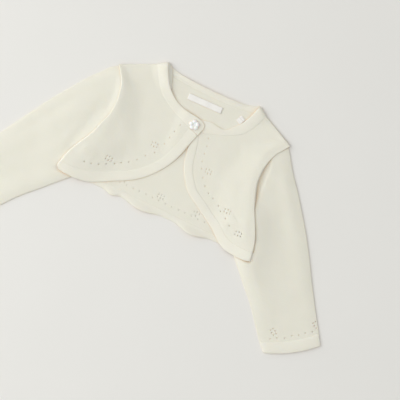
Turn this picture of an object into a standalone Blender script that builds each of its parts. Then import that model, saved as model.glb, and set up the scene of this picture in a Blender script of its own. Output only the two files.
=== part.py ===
"""A baby's short knitted cardigan, laid flat on a table with its sleeves drawn down beside the body.

X runs along the shoulders to the wearer's left, Y from the hem up to the neck, Z up from the table. The
tables are in millimetres. Their x is measured outwards from the centre line on either side of the body, and
their y from the shoulder points, so the hem is at about -150. ORIGIN_Y puts the middle of the outline at the
origin.
"""

import math

import bmesh
import bpy
from mathutils import Vector

# Cloth and the room between its layers.
MM = 0.001
CLOTH = 1.5
BAND_CLOTH = 1.9
SEAM = 0.35
LAY = 0.4
TOUCH = 0.3
RIM_RISE = 0.5
BAND_EDGE = 0.45
ORIGIN_Y = 109.41
SIDES = {"left": 1, "right": -1}

# The body: half of its width, and the soft fold along its armhole and side, with its inner slope's spread.
# y, half width, height of the fold on the right, and on the left, spread
BODY_SIDE = (
    (0, 119, 6.2, 6.0, 5.0),
    (-9, 113, 8.0, 7.0, 5.5),
    (-18, 107, 9.4, 7.8, 6.5),
    (-31, 103, 10.8, 10.0, 8.0),
    (-44, 101.5, 11.8, 11.6, 9.0),
    (-60, 102.5, 12.0, 12.0, 9.5),
    (-76, 107.5, 12.0, 12.0, 9.5),
    (-92, 113, 11.8, 11.8, 9.5),
    (-109, 122, 11.5, 11.5, 9.0),
    (-128, 130.5, 11.0, 11.0, 8.0),
    (-150, 137.5, 9.2, 9.2, 7.0),
)
NECK_HALF = 75.5
BODY_HALF = 119.0
# The shoulder line: x, y
SHOULDER = ((60, 30.6), (63.3, 29.3), (75.5, 21.2), (97, 10.7), (119, 0))
BACK_SEAM_Y = -141.0
FOLD_CREST = 3.5
# The front rises over the sleeve's end from this far inside of it, over this width
LIFT_START = 45.0
LIFT_WIDTH = 40.0
SHOULDER_PUFF = 1.8
# How far the cloth rolls over at the shoulder and side, beside the lengths that panels and bands run there
SHOULDER_ROLL = 5.0
SIDE_ROLL = 6.5
FRONT_LENGTH = 90.0
NECKBAND_LENGTH = 130.0
FRONT_BAND_LENGTH = 215.0

# The sleeve's inner line: its armhole end down to the underarm, then the fold that lies under the body.
# y, x
SLEEVE_INNER = (
    (-1.5, 117.0),
    (-9, 110.3),
    (-18, 104),
    (-31, 99.8),
    (-40, 97.8),
    (-52, 94.5),
    (-64, 89.5),
    (-76, 84),
    (-88, 88.5),
    (-102, 93.5),
    (-118, 99),
    (-134, 104.5),
    (-146, 109),
    (-154.5, 114),
)
UNDERARM_Y = -76
# The rest of the inner fold, below the hem: x, y
SLEEVE_INNER_FREE = (
    (114, -154.5),
    (121, -162),
    (131, -172),
    (141, -182.5),
    (151, -192.5),
    (163, -205.3),
    (174, -219),
)
# The outer fold of each sleeve: x, y
SLEEVE_OUTER = {
    "left": (
        (117, -1.5),
        (123.6, -10.6),
        (131, -21.5),
        (140, -33.6),
        (151, -46.8),
        (163.2, -62.6),
        (180.9, -86.5),
        (192.5, -103.5),
        (205, -123.3),
        (215.5, -140.5),
        (227, -158.6),
        (238.8, -176.8),
    ),
    "right": (
        (117, -1.5),
        (125.5, -6.5),
        (134.5, -17.2),
        (147, -32),
        (161, -52),
        (177.5, -76.2),
        (191.5, -99.5),
        (204.7, -121.5),
        (215.5, -140),
        (227, -158.6),
        (238.8, -176.8),
    ),
}
CUFF_SEAM = ((251.6, -195.8), (188.5, -236.7))
CUFF_END = ((260.2, -208.8), (199.2, -247.8))
CUFF_BULGE = 4.4
SLEEVE_FLAT = 4.2
SLEEVE_PUFF = 2.2
CUFF_PUFF = 0.6
# How the sleeve rises beside the body: y, from this far off the body's edge, over this width, to this puff
SLEEVE_RISE = {
    "left": (
        (0, 2, 12, 1.6),
        (-18, 2, 12, 2.2),
        (-30, 3, 11, 3.6),
        (-45, 5, 9, 4.8),
        (-63, 5, 9, 4.8),
        (-80, 4, 12, 4.2),
        (-100, 4, 12, 4.0),
        (-130, 5, 16, 2.8),
        (-150, 5, 16, 2.4),
    ),
    "right": (
        (0, 2, 14, 2.2),
        (-30, 2, 24, 3.6),
        (-60, 2, 28, 4.2),
        (-90, 2, 28, 4.0),
        (-120, 2, 22, 3.2),
        (-150, 2, 20, 2.4),
    ),
}
# A tube's faces round each folded side, and across its upper or lower wall
TUBE_CURVED = 4
TUBE_FLAT = 10
TUBE_ROWS = 22
# Soft folds of the sleeve: from x, y, to x, y, half width, height
SLEEVE_FOLDS = (
    (118, -44, 150, -84, 9, 0.6),
    (150, -62, 196, -140, 9, 0.9),
    (150, -150, 200, -205, 10, -0.8),
    (176, -120, 226, -196, 9, 0.8),
)

# The back panel's edge at the armhole, inside the sleeve's end, and then down along the side: y, x
BACK_SIDE = (
    (1.1, 116.4),
    (-9, 109.8),
    (-18, 103.5),
    (-31, 99.3),
    (-38, 98.0),
    (-46, 98.9),
    (-54, 101.0),
    (-62, 102.9),
    (-76, 107.4),
    (-92, 113),
    (-109, 122),
    (-128, 130.5),
    (-150, 137.5),
)
# The back neck: its seam and its free edge, x, y
BACK_NECK_SEAM = ((75.5, 21.0), (62, 17.6), (46, 15.2), (30, 13.9), (15, 13.2), (0, 13.0))
BACK_NECK_FREE = ((63.0, 28.6), (56, 25.8), (45, 22.6), (30, 20.9), (15, 20.3), (0, 20.2))
BACK_NECK_CURL = 2.6

# The bands, as stations along them: free edge x, y, seam x, y
NECKBAND = {
    "right": (
        (63.6, 29.3, 75.5, 21.2),
        (59.6, 20.4, 70.5, 13),
        (53.5, 9, 63.5, 1.5),
        (46.8, 0.2, 56, -7.8),
        (37.5, -7.6, 45, -16),
        (28.3, -12.6, 33, -22.6),
        (17.4, -15.7, 20, -28),
        (6.8, -17.0, 8, -32.3),
        (-2.5, -18.6, -1, -35.6),
        (-9.6, -21.6, -6.2, -37.2),
        (-12, -26.5, -8.4, -38),
    ),
    "left": (
        (63.4, 29.25, 75.5, 21.2),
        (60.5, 20, 72, 9.8),
        (57.3, 10.5, 67.4, 0),
        (51.5, -0.8, 61, -9.8),
        (44.7, -9, 52.8, -16.6),
        (39.3, -14.8, 43.6, -21.4),
        (34, -17.2, 35, -25.2),
        (27, -16.8, 27, -28),
        (17.4, -15.6, 18.5, -31),
        (7.7, -17.6, 8.5, -33.4),
        (-1, -19.8, 1, -34.8),
        (-8.5, -22, -6.6, -35.1),
    ),
}
FRONT_BAND = {
    "right": (
        (-8.2, -38.8, 4.4, -34.2),
        (-4.3, -51.6, 8.0, -48.3),
        (0.8, -70.1, 12.8, -65.8),
        (7.3, -85.4, 18.3, -79),
        (15.3, -97.8, 25.2, -90.2),
        (24, -108.5, 33, -99.8),
        (32.6, -116.7, 40.8, -107.3),
        (43.9, -124.8, 50.8, -114.3),
        (59.8, -133.4, 66, -122.4),
        (74.6, -141.7, 80, -130),
        (90.5, -149.1, 94, -135.8),
        (107.2, -152, 108, -138.8),
        (122, -151.4, 121.5, -140.2),
        (137.0, -149.2, 135.1, -140.6),
    ),
    "left": (
        (-6.4, -35.8, 7.8, -34.6),
        (0.3, -47, 12.6, -45.6),
        (4.0, -58, 15.2, -58),
        (6.7, -72.6, 18.4, -72),
        (12.6, -86.4, 23.8, -83.5),
        (20.9, -99.1, 31, -93.6),
        (29.1, -107.7, 37.8, -100.5),
        (45.5, -117.8, 51.5, -108.6),
        (60, -126.5, 65, -116.8),
        (73.3, -134.8, 79, -125),
        (88.5, -146.8, 92.5, -135.2),
        (100, -152.4, 102, -139.8),
        (114.3, -154, 114.5, -141),
        (127, -153.8, 126, -140.9),
        (137.6, -150.8, 135.1, -140.6),
    ),
}
FRONT_CORNER = {"right": (5.0, -33.9), "left": (8.4, -34.2)}
OVERLAP_LIFT = 2.6
# How far the front stands up along the neck, beside the shoulder: y, rise
NECK_STAND = {
    "right": ((-14, 0), (-4, 1.8), (6, 4.2), (16, 5.4), (30, 5.4)),
    "left": ((-6, 0), (4, 1.2), (14, 2.8), (30, 3.2)),
}
NECK_STAND_WIDTH = 21.0
NECK_STAND_END = -14.5

# The back hem's ruffle waves: middle x, half width, rise, reach below the straight hem
HEM_WAVES = (
    (-57, 13, 2.4, 3.0),
    (-17, 30, 3.4, 4.6),
    (52, 28, 4.4, 5.2),
)
HEM_FREE_Y = -148.6
HEM_FLARE = 1.6
HEM_BAND_CLOTH = 1.5

# Small things.
BUTTON_AT = (0.9, -28.0)
BUTTON_RADIUS = 6.8
BUTTON_THICK = 2.6
BUTTON_EDGE = 0.6
BUTTON_PETALS = 5
PETAL_DEPTH = 0.2
PETAL_ROUNDNESS = 0.6
LABEL_SIZE = (46.0, 8.2, 0.5)
LABEL_AT = (-0.4, 2.2)
LABEL_TURN = math.radians(1.4)
TAB_SIZE = (9.0, 8.0, 0.6)
TAB_AT = (48.0, 2.9)
TAB_TURN = math.radians(62)

# Colour and roughness of the knit, the button and the woven strips
KNIT = ((0.86, 0.82, 0.73, 1), 0.9)
PLASTIC = ((0.9, 0.9, 0.9, 1), 0.25)
WOVEN = ((0.9, 0.9, 0.9, 1), 0.6)


def ramp(t):
    """A soft step from 0 to 1."""
    t = min(1.0, max(0.0, t))
    return t * t * (3 - 2 * t)


def graph(rows, column=1):
    """A smooth function through rows, from their first column to another one, constant past the ends."""
    rows = sorted((row[0], row[column]) for row in rows)

    def slope(i):
        low, high = rows[max(i - 1, 0)], rows[min(i + 1, len(rows) - 1)]
        return (high[1] - low[1]) / (high[0] - low[0])

    def value(where):
        where = min(max(where, rows[0][0]), rows[-1][0])
        i = max(k for k in range(len(rows) - 1) if rows[k][0] <= where)
        span = rows[i + 1][0] - rows[i][0]
        t = (where - rows[i][0]) / span
        first = (1 + 2 * t) * (1 - t) ** 2 * rows[i][1] + t * (1 - t) ** 2 * span * slope(i)
        return first + t * t * (3 - 2 * t) * rows[i + 1][1] - t * t * (1 - t) * span * slope(i + 1)

    return value


def stations(points):
    """A smooth curve through points, as a function that passes them at equal steps from 0 to 1."""
    points = [Vector(p) for p in points]
    points = [2 * points[0] - points[1], *points, 2 * points[-1] - points[-2]]

    def at(t):
        place = min(max(t, 0.0), 1.0) * (len(points) - 3)
        i = min(int(place), len(points) - 4)
        t = place - i
        a, b, c, d = points[i : i + 4]
        return b + 0.5 * t * (c - a + t * (2 * a - 5 * b + 4 * c - d + t * (3 * (b - c) + d - a)))

    return at


def by_length(curve, steps=160):
    """The same curve as a function of the share of its length."""
    points = [curve(i / steps) for i in range(steps + 1)]
    lengths = [0.0]
    for a, b in zip(points, points[1:]):
        lengths.append(lengths[-1] + (b - a).length)

    def at(share):
        want = min(max(share, 0.0), 1.0) * lengths[-1]
        i = max(k for k in range(steps) if lengths[k] <= want)
        part = (want - lengths[i]) / max(lengths[i + 1] - lengths[i], 1e-9)
        return points[i].lerp(points[i + 1], part)

    return at


def beside(points, gap):
    """Points moved by the gap to the left of the way that they run."""
    points = [Vector(p) for p in points]
    moved = []
    for i, p in enumerate(points):
        way = (points[min(i + 1, len(points) - 1)] - points[max(i - 1, 0)]).normalized()
        moved.append(p + gap * Vector((-way.y, way.x)))
    return moved


def patch(top, bottom, near, far):
    """A plan between four curves: top and bottom run from near to far, near and far from top to bottom."""

    def at(u, v):
        ruled = top(u) * (1 - v) + bottom(u) * v + near(v) * (1 - u) + far(v) * u
        upper = top(0) * (1 - u) + top(1) * u
        lower = bottom(0) * (1 - u) + bottom(1) * u
        return ruled - upper * (1 - v) - lower * v

    return at


def bowed(line, bulge):
    """A straight line from one point to another, bowed to its left."""
    start, end = Vector(line[0]), Vector(line[1])
    way = (end - start).normalized()
    return lambda t: start.lerp(end, t) + bulge * 4 * t * (1 - t) * Vector((-way.y, way.x))


body_half = graph(BODY_SIDE)
fold_height = {"right": graph(BODY_SIDE, 2), "left": graph(BODY_SIDE, 3)}
fold_spread = graph(BODY_SIDE, 4)
sleeve_inner = graph(SLEEVE_INNER)
sleeve_rise = {side: [graph(rows, k) for k in (1, 2, 3)] for side, rows in SLEEVE_RISE.items()}
back_half = graph(BACK_SIDE)
shoulder_y = graph(SHOULDER)
neck_stand = {side: graph(rows) for side, rows in NECK_STAND.items()}
neck_edge = {
    side: graph([row[1::-1] for row in rows if row[1] > NECK_STAND_END]) for side, rows in NECKBAND.items()
}


def back_under(x, y):
    """The height of the back's underside: flat on the table, but lifted where its side lies on the sleeve."""
    x = abs(x)
    down = ramp((-y - 16) / 20)
    aside = ramp((x - sleeve_inner(y) + 20) / 13)
    return (SLEEVE_FLAT + LAY) * down * aside


def arc(distance, rim, top):
    """The height of a cloth that rolls over from top down to its rim within a quarter circle."""
    radius = max(top - rim, 0.1)
    if distance >= radius:
        return top
    return rim + math.sqrt(max(radius**2 - (radius - distance) ** 2, 0))


def rim_height(y):
    """The front's rim lies on the sleeve's end down to the underarm, then on the back's edge."""
    return SLEEVE_FLAT + LAY + RIM_RISE + (CLOTH + RIM_RISE) * ramp((-y - 34) / 12)


def shoulder_rim(x):
    """The front's shoulder edge lies on the back's, and climbs onto the sleeve at the shoulder point."""
    return CLOTH + LAY + RIM_RISE + (SLEEVE_FLAT - CLOTH) * ramp((x - 96) / 15)


def front_top(side, x, y):
    """The height of a front's outer face: over the back and the sleeve, with a soft fold along the armhole
    and side, standing up along the neck, and rolled over at the side and the shoulder."""
    base = 2 * CLOTH + LAY
    lift = (SLEEVE_FLAT + 1.1) * ramp((-y - 8) / 22) * ramp((x - sleeve_inner(y) + LIFT_START) / LIFT_WIDTH)
    slant = (body_half(y + 2) - body_half(y - 2)) / 4
    aside = max(body_half(y) - x, 0) / math.hypot(1, slant)
    fold = (fold_height[side](y) - base - lift) / math.cosh(max(aside - FOLD_CREST, 0) / fold_spread(y))
    below = max(shoulder_y(x) - y, 0) * 0.9
    puff = SHOULDER_PUFF * (1 - ramp((below - 4) / 20)) * ramp((x - 56) / 8) * ramp((aside - 4) / 12)
    stand = neck_stand[side](y) * (1 - ramp((x - neck_edge[side](y)) / NECK_STAND_WIDTH))
    over = 0
    if side == "right":
        over = OVERLAP_LIFT * ramp((28 - x) / 15) * ramp((y + 88) / 26)
    top = base + lift + fold + puff + stand + over
    return min(top, arc(aside, rim_height(y), top), arc(below, shoulder_rim(x), top))


def folds(x, y, rows):
    """The sum of soft ridges and troughs, each along its own line."""
    total = 0
    for x0, y0, x1, y1, half, height in rows:
        start, way = Vector((x0, y0)), Vector((x1 - x0, y1 - y0))
        along = (Vector((x, y)) - start).dot(way) / way.length_squared
        off = (Vector((x, y)) - start - min(max(along, 0), 1) * way).length
        total += height * math.exp(-((off / half) ** 2)) * ramp((0.5 - abs(along - 0.5)) / 0.25 + 0.4)
    return total


def sleeve_top(side, x, y, share):
    """The height of the sleeve's upper face: flat where the body lies on it, puffed beside the body."""
    start, width, full = (column(y) for column in sleeve_rise[side])
    out = max(x - body_half(y), -153 - y)
    free = ramp((out - start) / width)
    puff = full + (SLEEVE_PUFF - full) * ramp((out - 20) / 45)
    puff += (CUFF_PUFF - puff) * ramp((share - 0.7) / 0.3)
    return SLEEVE_FLAT + free * (puff + folds(x, y, SLEEVE_FOLDS) * (1 - ramp((share - 0.8) / 0.2)))


def new_object(name, mesh, collection, colour, roughness):
    """An object of its own material, in the garment's collection."""
    thing = bpy.data.objects.new(name, mesh)
    collection.objects.link(thing)
    material = bpy.data.materials.new(name + "_cloth")
    material.use_nodes = True
    shader = material.node_tree.nodes["Principled BSDF"]
    shader.inputs["Base Color"].default_value = colour
    shader.inputs["Roughness"].default_value = roughness
    shader.inputs["Metallic"].default_value = 0.0
    mesh.materials.append(material)
    return thing


def laid(name, columns, rows, point, collection, thickness, upwards=False):
    """A cloth from a grid whose points are laid at point(i, j), in millimetres, with its thickness below
    them, or above them if upwards."""
    bm = bmesh.new()
    bmesh.ops.create_grid(bm, x_segments=columns, y_segments=rows, size=1)
    for v in bm.verts:
        i = round((v.co.x + 1) / 2 * columns)
        j = round((v.co.y + 1) / 2 * rows)
        x, y, z = point(i, j)
        v.co = Vector((x, y + ORIGIN_Y, z)) * MM
    bmesh.ops.remove_doubles(bm, verts=bm.verts, dist=1e-6)
    bm.normal_update()
    highest = max(bm.faces, key=lambda f: f.calc_center_median().z)
    if highest.normal.z < 0:
        bmesh.ops.reverse_faces(bm, faces=bm.faces)
    mesh = bpy.data.meshes.new(name)
    bm.to_mesh(mesh)
    bm.free()
    mesh.shade_smooth()
    thing = new_object(name, mesh, collection, *KNIT)
    wall = thing.modifiers.new("Wall", "SOLIDIFY")
    wall.thickness = thickness * MM
    wall.offset = 1 if upwards else -1
    wall.use_even_offset = True
    wall.use_quality_normals = True
    return thing


def soften(thing, width, segments):
    """Rounds the sharp edges."""
    edge = thing.modifiers.new("Soft edge", "BEVEL")
    edge.width = width * MM
    edge.segments = segments
    edge.limit_method = "ANGLE"
    edge.angle_limit = math.radians(55)


def rolled(count, length, radius, at_start=False):
    """Shares from 0 to 1 with three close steps at the end, or the start, where a cloth rolls over."""
    close = [1 - radius * (1 - math.sin(math.radians(a))) / length for a in (0, 30, 60, 90)]
    shares = [close[0] * i / count for i in range(count)] + close
    if at_start:
        shares = [1 - s for s in reversed(shares)]
    return shares


def front(side, collection):
    """A front panel, between the shoulder, the neckband, the front band and the side."""
    corner = Vector(FRONT_CORNER[side])
    neck_points = [row[2:] for row in NECKBAND[side] if row[2] > corner.x + 2]
    band_points = [row[2:] for row in FRONT_BAND[side]]
    neck_points = beside(neck_points, SEAM)
    band_points = beside(band_points, SEAM)
    side_points = [row[1::-1] for row in BODY_SIDE if row[0] > BACK_SEAM_Y]
    hem_corner = Vector((body_half(band_points[-1].y), band_points[-1].y))
    neck = by_length(stations([*neck_points, corner]))
    band = by_length(stations([corner, *band_points[1:-1], hem_corner]))
    edge = by_length(stations([*side_points, hem_corner]))
    shoulder = by_length(stations([neck_points[0], (BODY_HALF, 0)]))
    plan = patch(shoulder, band, neck, edge)
    columns, rows = 21, 15

    def point(i, j):
        v = rolled(rows - 3, FRONT_LENGTH, SHOULDER_ROLL, at_start=True)[j]
        width = (plan(1, v) - plan(0, v)).length
        u = rolled(columns - 3, width, SIDE_ROLL)[i]
        p = plan(u, v)
        return SIDES[side] * p.x, p.y, front_top(side, p.x, p.y)

    return laid(f"front_{side}", columns, rows, point, collection, CLOTH)


def band(name, side, table, shares, collection):
    """A band on a front: a strip from its free edge to its seam, whose underside continues the panel's."""
    free = stations([row[:2] for row in table])
    seam = stations([row[2:] for row in table])
    across = (0.0, 0.5, 1.0)

    def point(i, j):
        p = free(shares[j]).lerp(seam(shares[j]), across[i])
        return SIDES[side] * p.x, p.y, front_top(side, p.x, p.y) + BAND_CLOTH - CLOTH

    thing = laid(name, len(across) - 1, len(shares) - 1, point, collection, BAND_CLOTH)
    soften(thing, BAND_EDGE, 1)
    return thing


def back(collection):
    """The back panel, whose sides lie on the sleeves."""
    neck_seam = graph([(x, y - SEAM) for x, y in BACK_NECK_SEAM])
    top_half = BACK_SIDE[0][1]

    def top(u):
        x = abs(2 * u - 1) * top_half
        return Vector(((2 * u - 1) * top_half, neck_seam(x) if x < NECK_HALF else shoulder_y(x)))

    def bottom(u):
        return Vector(((2 * u - 1) * back_half(BACK_SEAM_Y), BACK_SEAM_Y))

    def edge(v):
        y = BACK_SIDE[0][0] + v * (BACK_SEAM_Y - BACK_SIDE[0][0])
        return Vector((back_half(y), y))

    def other_edge(v):
        return Vector((-edge(v).x, edge(v).y))

    plan = patch(top, bottom, other_edge, edge)
    columns, rows = 30, 17

    def point(i, j):
        p = plan(i / columns, j / rows)
        return p.x, p.y, back_under(p.x, p.y)

    return laid("back", columns, rows, point, collection, CLOTH, upwards=True)


def hem_wave(x):
    """The ruffle's rise and reach at x along the back hem, as shares of each wave."""
    rise = reach = 0
    for middle, half, up, out in HEM_WAVES:
        share = 0.5 + 0.5 * math.cos(math.pi * min(abs(x - middle) / half, 1))
        rise += up * share
        reach += out * share
    return rise, reach


def hem_band(collection):
    """The band under the back panel, whose free edge waves."""
    columns, across = 60, (0.0, 0.3, 0.65, 1.0)

    def point(i, j):
        side = 2 * i / columns - 1
        x = side * back_half(BACK_SEAM_Y)
        rise, reach = hem_wave(x)
        down = across[j]
        y = BACK_SEAM_Y - SEAM + down * (HEM_FREE_Y - reach - BACK_SEAM_Y + SEAM)
        x = side * (back_half(BACK_SEAM_Y) + down * HEM_FLARE)
        return x, y, back_under(x, y) + rise * ramp((down - 0.15) / 0.85)

    return laid("hem_band_back", columns, len(across) - 1, point, collection, HEM_BAND_CLOTH, upwards=True)


def neckband_back(collection):
    """The band of the back neck, its free edge curled up a little."""
    seam, free = graph(BACK_NECK_SEAM), stations(BACK_NECK_FREE)
    columns, across = 28, (0.0, 0.5, 1.0)

    def point(i, j):
        side = 2 * i / columns - 1
        edge = free(1 - abs(side))
        inner = Vector((abs(side) * (NECK_HALF - 0.6), seam(abs(side) * (NECK_HALF - 0.6))))
        p = inner.lerp(edge, across[j])
        curl = BACK_NECK_CURL * across[j] ** 2 * ramp((52 - p.x) / 24)
        return math.copysign(p.x, side), p.y, curl

    return laid("neckband_back", columns, len(across) - 1, point, collection, CLOTH, upwards=True)


def ring(k, near, far, height):
    """The k-th point round a flattened tube: its share across, and its height. Its two folds are half
    circles, which take the shares near and far of the width."""
    radius = SLEEVE_FLAT / 2
    turn = 180 / TUBE_CURVED
    below = TUBE_CURVED + TUBE_FLAT
    if k <= TUBE_CURVED:
        angle = math.radians(90 - turn * k)
        share = near * (1 - math.cos(angle))
    elif k <= below:
        angle = math.radians(-90)
        share = near + (1 - near - far) * (k - TUBE_CURVED) / TUBE_FLAT
    elif k <= below + TUBE_CURVED:
        angle = math.radians(-90 + turn * (k - below))
        share = 1 - far * (1 - math.cos(angle))
    else:
        angle = math.radians(90)
        share = 1 - far - (1 - near - far) * (k - below - TUBE_CURVED) / TUBE_FLAT
    above = height(share) - radius if angle > 0 else radius
    return share, radius + above * math.sin(angle)


def fold_share(plan, u, v):
    """The share of the width that a fold's half circle takes at u = 0 or 1. The section may be slanted."""
    step = 0.02
    section = plan(abs(u - step), v) - plan(u, v)
    length = plan(u, min(v + step, 1)) - plan(u, max(v - step, 0))
    slant = abs(section.normalized().cross(length.normalized()))
    return SLEEVE_FLAT / 2 / (plan(1, v) - plan(0, v)).length / max(slant, 0.3)


def tube(name, side, plan, height, lengthways, collection):
    """A flattened tube of cloth over a plan, open at both ends."""
    around = 2 * (TUBE_CURVED + TUBE_FLAT)

    def point(i, j):
        v = j / lengthways

        def top(u):
            p = plan(u, v)
            return height(p.x, p.y, v)

        u, z = ring(i % around, fold_share(plan, 0, v), fold_share(plan, 1, v), top)
        p = plan(u, v)
        return SIDES[side] * p.x, p.y, z

    return laid(name, around, lengthways, point, collection, CLOTH)


def sleeve(side, collection):
    """A sleeve from the armhole to the cuff's seam."""
    end = [(x, y) for y, x in SLEEVE_INNER if y >= UNDERARM_Y]
    inner = [(x, y) for y, x in SLEEVE_INNER if y <= UNDERARM_Y]
    armhole = by_length(stations(end))
    inside = by_length(stations([*inner, *SLEEVE_INNER_FREE[1:], CUFF_SEAM[1]]))
    outside = by_length(stations([*SLEEVE_OUTER[side], CUFF_SEAM[0]]))
    plan = patch(armhole, bowed(CUFF_SEAM, CUFF_BULGE), outside, inside)

    def height(x, y, v):
        return sleeve_top(side, x, y, v)

    return tube(f"sleeve_{side}", side, plan, height, TUBE_ROWS, collection)


def cuff(side, collection):
    """A plain band at the sleeve's end."""
    way = (Vector(CUFF_END[0]) - Vector(CUFF_SEAM[0])).normalized() * SEAM
    start = bowed([Vector(p) + way for p in CUFF_SEAM], CUFF_BULGE)
    end = bowed(CUFF_END, CUFF_BULGE)
    plan = patch(start, end, lambda v: start(0).lerp(end(0), v), lambda v: start(1).lerp(end(1), v))
    return tube(f"cuff_{side}", side, plan, lambda x, y, v: SLEEVE_FLAT + CUFF_PUFF, 2, collection)


def button(collection):
    """A flower of round petals, on the tip of the right front."""
    bm = bmesh.new()
    bmesh.ops.create_circle(bm, cap_ends=True, segments=60, radius=1)
    for v in bm.verts:
        angle = math.atan2(v.co.y, v.co.x)
        petal = abs(math.cos(BUTTON_PETALS * angle / 2)) ** PETAL_ROUNDNESS
        radius = BUTTON_RADIUS * (1 - PETAL_DEPTH * (1 - petal))
        v.co = Vector((math.cos(angle), math.sin(angle), 0)) * radius * MM
    raised = bmesh.ops.extrude_face_region(bm, geom=bm.faces[:])
    top = [v for v in raised["geom"] if isinstance(v, bmesh.types.BMVert)]
    bmesh.ops.translate(bm, verts=top, vec=(0, 0, BUTTON_THICK * MM))
    bmesh.ops.recalc_face_normals(bm, faces=bm.faces)
    mesh = bpy.data.meshes.new("button")
    bm.to_mesh(mesh)
    bm.free()
    thing = new_object("button", mesh, collection, *PLASTIC)
    x, y = BUTTON_AT
    reach = (-BUTTON_RADIUS, 0, BUTTON_RADIUS)
    seat = max(front_top("right", x + dx, y + dy) for dx in reach for dy in reach)
    thing.location = Vector((-x, y + ORIGIN_Y, seat + BAND_CLOTH - CLOTH + TOUCH)) * MM
    soften(thing, BUTTON_EDGE, 2)
    return thing


def small_sheet(name, size, at, turn, collection):
    """A small bare strip that lies on the back panel."""
    bm = bmesh.new()
    bmesh.ops.create_cube(bm, size=1)
    for v in bm.verts:
        v.co = Vector((v.co.x * size[0], v.co.y * size[1], v.co.z * size[2])) * MM
    mesh = bpy.data.meshes.new(name)
    bm.to_mesh(mesh)
    bm.free()
    thing = new_object(name, mesh, collection, *WOVEN)
    thing.location = Vector((at[0], at[1] + ORIGIN_Y, CLOTH + TOUCH + size[2] / 2)) * MM
    thing.rotation_euler.z = turn
    return thing


def main():
    for thing in list(bpy.data.objects):
        bpy.data.objects.remove(thing, do_unlink=True)
    collection = bpy.data.collections.new("cardigan")
    bpy.context.scene.collection.children.link(collection)
    back(collection)
    hem_band(collection)
    neckband_back(collection)
    small_sheet("neck_label", LABEL_SIZE, LABEL_AT, LABEL_TURN, collection)
    small_sheet("side_tab", TAB_SIZE, TAB_AT, TAB_TURN, collection)
    for side in SIDES:
        sleeve(side, collection)
        cuff(side, collection)
        front(side, collection)
        neck_shares = rolled(25, NECKBAND_LENGTH, SHOULDER_ROLL, at_start=True)
        band(f"neckband_{side}", side, NECKBAND[side], neck_shares, collection)
        band_shares = rolled(34, FRONT_BAND_LENGTH, SIDE_ROLL)
        band(f"front_band_{side}", side, FRONT_BAND[side], band_shares, collection)
    button(collection)


main()
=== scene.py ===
"""The looks of a baby's short cream cardigan, laid flat and seen from straight above.

The tables are in millimetres. Their x is measured outwards from the centre line on either side of the body, and
their y from the shoulder points up, so the hem is at about -150. placed() turns them into the model's metres.
Left and right are the wearer's. A soft step is given as where it starts and how wide it is.
"""

import math

import bmesh
import bpy
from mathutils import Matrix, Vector, kdtree, noise


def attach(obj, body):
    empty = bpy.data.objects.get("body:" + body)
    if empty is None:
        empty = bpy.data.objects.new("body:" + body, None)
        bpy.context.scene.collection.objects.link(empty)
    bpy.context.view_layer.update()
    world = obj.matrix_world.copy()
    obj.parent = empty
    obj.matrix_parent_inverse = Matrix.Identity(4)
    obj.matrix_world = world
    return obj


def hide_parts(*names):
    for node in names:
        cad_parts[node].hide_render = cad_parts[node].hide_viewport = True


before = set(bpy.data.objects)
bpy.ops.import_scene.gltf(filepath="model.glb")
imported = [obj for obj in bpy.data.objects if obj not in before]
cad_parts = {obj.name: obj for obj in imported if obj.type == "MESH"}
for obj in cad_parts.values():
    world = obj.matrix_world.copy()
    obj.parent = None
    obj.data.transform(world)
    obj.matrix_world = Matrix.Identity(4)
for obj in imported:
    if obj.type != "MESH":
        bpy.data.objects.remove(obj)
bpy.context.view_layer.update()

MM = 0.001
# The shoulder points' y in the model
ORIGIN_Y = 109.41
SIDES = {"left": 1, "right": -1}

# Cloth: the thickness of the jersey, the bands, the hem's and the back neck's band, and the thin linings and labels
CLOTH = 0.65
BAND_CLOTH = 1.15
HEM_CLOTH = 1.1
LINING = 0.4
# How far a panel is tucked into its band, and the room between layers
TUCK = 1.1
LAY = 0.25
TOUCH = 0.3
RIM_RISE = 0.15

# The body: half of its width, and the soft fold along its armhole and side, with its inner slope's spread.
# y, half width, height of the fold on the right, and on the left, spread, width of its top on the right
BODY_SIDE = (
    (0, 119, 4.4, 3.8, 5.0, 1.5),
    (-9, 113, 5.6, 4.2, 5.5, 1.2),
    (-18, 107, 6.7, 4.6, 6.0, 1.0),
    (-31, 103, 7.2, 5.8, 6.5, 1.2),
    (-44, 101.5, 7.6, 6.6, 7.5, 1.6),
    (-60, 102.5, 7.5, 7.3, 9.0, 2.6),
    (-76, 107.5, 7.5, 8.2, 10.5, 5.0),
    (-92, 113, 8.0, 9.1, 13.0, 8.0),
    (-109, 122, 8.2, 10.1, 15.0, 11.0),
    (-128, 130.5, 8.4, 10.2, 16.0, 11.0),
    (-150, 135.3, 7.6, 8.8, 14.0, 10.0),
)
# The width of the fold's top on the left: y, width
FOLD_TOP_LEFT = ((0, 5.5), (-80, 5.5), (-104, 3.5), (-124, 1.5), (-150, 1.0))
FOLD_SHARPNESS = 0.2
NECK_HALF = 75.5
BODY_HALF = 119.0
# The shoulder line: x, y
SHOULDER = ((60, 30.6), (63.3, 29.3), (75.5, 21.2), (97, 10.7), (119, 0))
SHOULDER_COSINE = 0.9
BACK_SEAM_Y = -141.0

# Where a front climbs onto the sleeve: by how much, down from the shoulder, and out from the sleeve's inner line
FRONT_LIFT = 2.55
FRONT_LIFT_DOWN = (8, 22)
FRONT_LIFT_OUT = (-33, 30)
# The same for the back's side, the front's rim (down) and its shoulder edge (out)
BACK_LIFT_DOWN = (16, 20)
BACK_LIFT_OUT = (-20, 13)
RIM_LIFT_DOWN = (22, 12)
SHOULDER_LIFT_OUT = (96, 15)
# The shoulder's puff: its height, and its soft steps down from the shoulder, outwards and in from the side
SHOULDER_PUFF = 0.9
PUFF_DOWN = (4, 20)
PUFF_OUT = (56, 8)
PUFF_ASIDE = (4, 12)
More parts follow.
